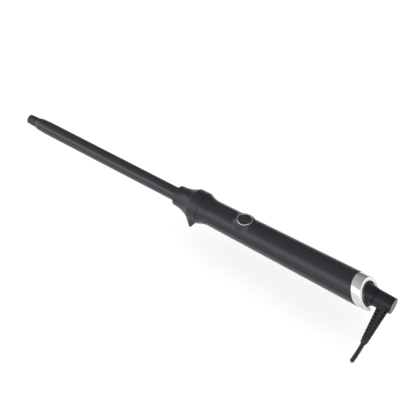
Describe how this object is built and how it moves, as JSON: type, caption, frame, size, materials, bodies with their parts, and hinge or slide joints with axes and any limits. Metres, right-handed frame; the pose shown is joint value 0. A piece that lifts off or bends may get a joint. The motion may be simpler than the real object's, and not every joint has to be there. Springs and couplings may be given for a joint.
{
  "type": "curling wand",
  "caption": "Slim hair curling wand: glossy round barrel with cool tip, flared guard with feet, round handle with ringed button, slanted chrome end ring and right-angle cord swivel.",
  "frame": {"origin": "on the barrel's axis at the front face of the guard's collar, where the bare barrel begins", "axes": "+X along the barrel's axis from the cool tip to the cord, +Z the side of the button, -Y the side the cord leaves at rest"},
  "size_m": [0.433, 0.0709, 0.0472],
  "materials": {
    "barrel_coat": "glossy dark ceramic coat on aluminium",
    "heatproof_plastic": "fine matt, heat-proof",
    "soft_touch": "soft-touch matt",
    "gloss_black": "polished black",
    "chrome_trim": "bright chrome plate",
    "swivel_black": "satin black",
    "end_grey": "satin dark grey",
    "cord_rubber": "matt black rubber",
    "core_insulation": "smooth insulation",
    "copper": "bare copper strands",
    "brass_contacts": "turned brass",
    "spring_steel": "plain steel",
    "heater_ceramic": "unglazed white",
    "spreader_aluminium": "extruded",
    "board_laminate": "green solder mask",
    "component_black": "moulded black",
    "component_yellow": "yellow box",
    "lamp_clear": "clear lens",
    "wire_sleeve": "woven glass sleeve",
    "carrier_plastic": "moulded",
    "bearing_plastic": "self-lubricating white",
    "tin_metal": "tinned",
    "terminal_green": "moulded"
  },
  "bodies": {
    "handle": {"barrel_tube": "barrel_coat", "cool_tip": "heatproof_plastic", "barrel_guard": "heatproof_plastic", "barrel_socket": "heatproof_plastic", "guard_screws": "spring_steel", "heater_strip": "heater_ceramic", "heat_spreader_upper": "spreader_aluminium", "heat_spreader_lower": "spreader_aluminium", "thermistor": "wire_sleeve", "thermal_fuse": "tin_metal", "heater_leads": "wire_sleeve", "handle_upper_shell": "soft_touch", "handle_lower_shell": "soft_touch", "housing_screws": "spring_steel", "button_ring": "chrome_trim", "tactile_switch": "component_black", "board_carrier": "carrier_plastic", "circuit_board": "board_laminate", "board_screws": "spring_steel", "status_led": "lamp_clear", "microcontroller": "component_black", "buzzer": "component_black", "triac": "component_black", "triac_heatsink": "spreader_aluminium", "film_capacitor": "component_yellow", "mains_fuse": "tin_metal", "terminal_block": "terminal_green", "supply_wires": "core_insulation", "end_ring": "chrome_trim", "end_insert": "swivel_black", "swivel_bush": "bearing_plastic", "contact_block": "carrier_plastic", "contact_springs": "spring_steel"},
    "power_button": {"button_cap": "gloss_black"},
    "switch_plunger": {"switch_plunger": "component_black"},
    "cord_swivel": {"swivel_elbow": "swivel_black", "elbow_end_cap": "end_grey", "retaining_clip": "spring_steel", "slip_rings": "brass_contacts", "cord_boot": "cord_rubber", "cord_jacket": "cord_rubber", "cord_cores": "core_insulation", "cord_conductors": "copper"}
  },
  "joints": [
    {"name": "power_button", "type": "slide", "parent": "handle", "child": "power_button", "axis": [0, 0, -1], "range_m": [0, 0.0005], "stiffness_N_per_m": 1200},
    {"name": "switch_travel", "type": "slide", "parent": "handle", "child": "switch_plunger", "axis": [0, 0, -1], "range_m": [0, 0.0005]},
    {"name": "cord_swivel", "type": "hinge", "parent": "handle", "child": "cord_swivel", "pos_m": [0.2296, 0, 0], "axis": [1, 0, 0], "continuous": true}
  ],
  "couplings": [
    {"joint": "switch_travel", "follows": "power_button", "ratio": 1}
  ]
}
